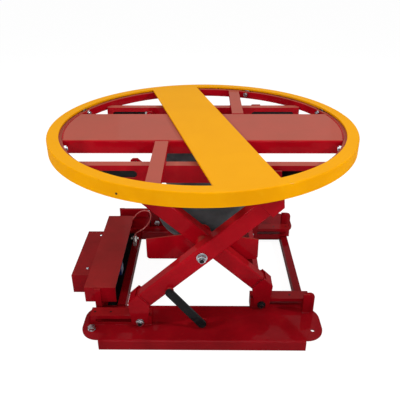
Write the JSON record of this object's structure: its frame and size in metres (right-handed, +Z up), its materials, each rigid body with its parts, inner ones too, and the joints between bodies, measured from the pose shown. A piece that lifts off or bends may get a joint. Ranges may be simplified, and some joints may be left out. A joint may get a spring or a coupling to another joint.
{
  "type": "rotating scissor lift table",
  "caption": "Low scissor lift table with crossed box-tube arms, an air spring on a level saddle, side covers and a flat round turntable ring with one cross bar.",
  "frame": {"origin": "on the floor under the turntable's centre", "axes": "+Z up, +X to the right and +Y away, seen from the side that the scissor shows"},
  "size_m": [1.1098, 1.11, 0.67],
  "materials": {
    "red_paint": "satin red powder coat",
    "yellow_paint": "satin yellow powder coat",
    "zinc": "bright zinc plate",
    "black_steel": "satin black",
    "roller_steel": "turned steel",
    "bag_rubber": "matt fabric-reinforced rubber",
    "fitting_nickel": "nickel plate",
    "valve_blue": "blue plastic"
  },
  "bodies": {
    "base": {"base_plate_near": "red_paint", "base_plate_far": "red_paint", "base_tube_right": "red_paint", "base_tube_left": "red_paint", "base_tube_cover": "red_paint", "outer_track_near": "red_paint", "outer_track_far": "red_paint", "inner_track_near": "red_paint", "inner_track_far": "red_paint", "posts": "red_paint", "link_clevis": "red_paint", "valve_cover": "red_paint", "side_box": "red_paint", "cover_stays": "red_paint", "box_screws": "zinc", "anchor_bolt": "zinc", "air_tank": "black_steel", "air_fittings": "fitting_nickel", "air_valve": "valve_blue"},
    "guide_link": {"guide_link": "black_steel", "guide_link_pins": "black_steel"},
    "outer_arms": {"outer_arm_near": "red_paint", "outer_arm_far": "red_paint", "outer_foot_brackets": "red_paint", "outer_top_brackets": "red_paint", "outer_axles": "zinc", "outer_nuts": "zinc", "centre_shafts": "zinc"},
    "inner_arms": {"inner_arm_near": "red_paint", "inner_arm_far": "red_paint", "inner_foot_brackets": "red_paint", "inner_top_brackets": "red_paint", "inner_axles": "zinc", "inner_nuts": "zinc", "inner_cross_tube": "red_paint"},
    "saddle": {"saddle_frame": "red_paint", "bag_plate_lower": "black_steel", "air_bag": "bag_rubber"},
    "upper_link": {"upper_guide_link": "black_steel", "upper_link_pins": "black_steel"},
    "platform": {"wide_plate": "red_paint", "beam_near": "red_paint", "beam_far": "red_paint", "cross_tube_near": "red_paint", "cross_tube_far": "red_paint", "rolled_ring": "red_paint", "upper_lug": "red_paint", "follower_studs": "zinc", "bag_plate_upper": "black_steel"},
    "turntable": {"turntable_ring": "yellow_paint", "turntable_skirt": "yellow_paint", "turntable_bar": "yellow_paint"},
    "outer_foot_rollers": {"outer_foot_rollers": "roller_steel"},
    "inner_foot_rollers": {"inner_foot_rollers": "roller_steel"},
    "outer_top_rollers": {"outer_top_rollers": "roller_steel"},
    "inner_top_rollers": {"inner_top_rollers": "roller_steel"},
    "support_rollers_1": {"support_rollers_1": "roller_steel"},
    "support_rollers_2": {"support_rollers_2": "roller_steel"},
    "support_rollers_3": {"support_rollers_3": "roller_steel"},
    "support_rollers_4": {"support_rollers_4": "roller_steel"}
  },
  "joints": [
    {"name": "lift", "type": "hinge", "parent": "base", "child": "guide_link", "pos_m": [0, -0.388, 0.06], "axis": [0, -1, 0], "range_deg": [0, 39.3], "stiffness_Nm_per_rad": 1500, "springref_deg": -22.92, "deforming": ["air_bag"]},
    {"name": "outer_arm_hinge", "type": "hinge", "parent": "guide_link", "child": "outer_arms", "pos_m": [-0.1105, -0.388, 0.198], "axis": [0, 1, 0], "range_deg": [0, 78.6]},
    {"name": "inner_arm_hinge", "type": "hinge", "parent": "outer_arms", "child": "inner_arms", "pos_m": [0, 0, 0.336], "axis": [0, 1, 0], "range_deg": [-78.6, 0]},
    {"name": "saddle_hinge", "type": "hinge", "parent": "outer_arms", "child": "saddle", "pos_m": [0, 0, 0.336], "axis": [0, 1, 0], "range_deg": [-39.3, 0]},
    {"name": "upper_link_hinge", "type": "hinge", "parent": "outer_arms", "child": "upper_link", "pos_m": [0.1105, 0.388, 0.474], "axis": [0, 1, 0], "range_deg": [-78.6, 0]},
    {"name": "platform_hinge", "type": "hinge", "parent": "upper_link", "child": "platform", "pos_m": [0, 0.388, 0.612], "axis": [0, 1, 0], "range_deg": [0, 39.3]},
    {"name": "turntable_spin", "type": "hinge", "parent": "platform", "child": "turntable", "pos_m": [0, 0, 0.661], "axis": [0, 0, 1], "continuous": true},
    {"name": "outer_foot_roll", "type": "hinge", "parent": "outer_arms", "child": "outer_foot_rollers", "pos_m": [-0.221, 0, 0.06], "axis": [0, 1, 0], "continuous": true},
    {"name": "inner_foot_roll", "type": "hinge", "parent": "inner_arms", "child": "inner_foot_rollers", "pos_m": [0.221, 0, 0.06], "axis": [0, 1, 0], "continuous": true},
    {"name": "outer_top_roll", "type": "hinge", "parent": "outer_arms", "child": "outer_top_rollers", "pos_m": [0.221, 0, 0.612], "axis": [0, 1, 0], "continuous": true},
    {"name": "inner_top_roll", "type": "hinge", "parent": "inner_arms", "child": "inner_top_rollers", "pos_m": [-0.221, 0, 0.612], "axis": [0, 1, 0], "continuous": true},
    {"name": "support_roll_1", "type": "hinge", "parent": "platform", "child": "support_rollers_1", "pos_m": [0, 0, 0.6477], "axis": [0.9239, 0.3827, 0], "continuous": true},
    {"name": "support_roll_2", "type": "hinge", "parent": "platform", "child": "support_rollers_2", "pos_m": [0, 0, 0.6477], "axis": [0.3827, 0.9239, 0], "continuous": true},
    {"name": "support_roll_3", "type": "hinge", "parent": "platform", "child": "support_rollers_3", "pos_m": [0, 0, 0.6477], "axis": [-0.3827, 0.9239, 0], "continuous": true},
    {"name": "support_roll_4", "type": "hinge", "parent": "platform", "child": "support_rollers_4", "pos_m": [0, 0, 0.6477], "axis": [-0.9239, 0.3827, 0], "continuous": true}
  ],
  "couplings": [
    {"joint": "outer_arm_hinge", "follows": "lift", "ratio": 2},
    {"joint": "inner_arm_hinge", "follows": "lift", "ratio": -2},
    {"joint": "saddle_hinge", "follows": "lift", "ratio": -1},
    {"joint": "upper_link_hinge", "follows": "lift", "ratio": -2},
    {"joint": "platform_hinge", "follows": "lift", "ratio": 1}
  ]
}
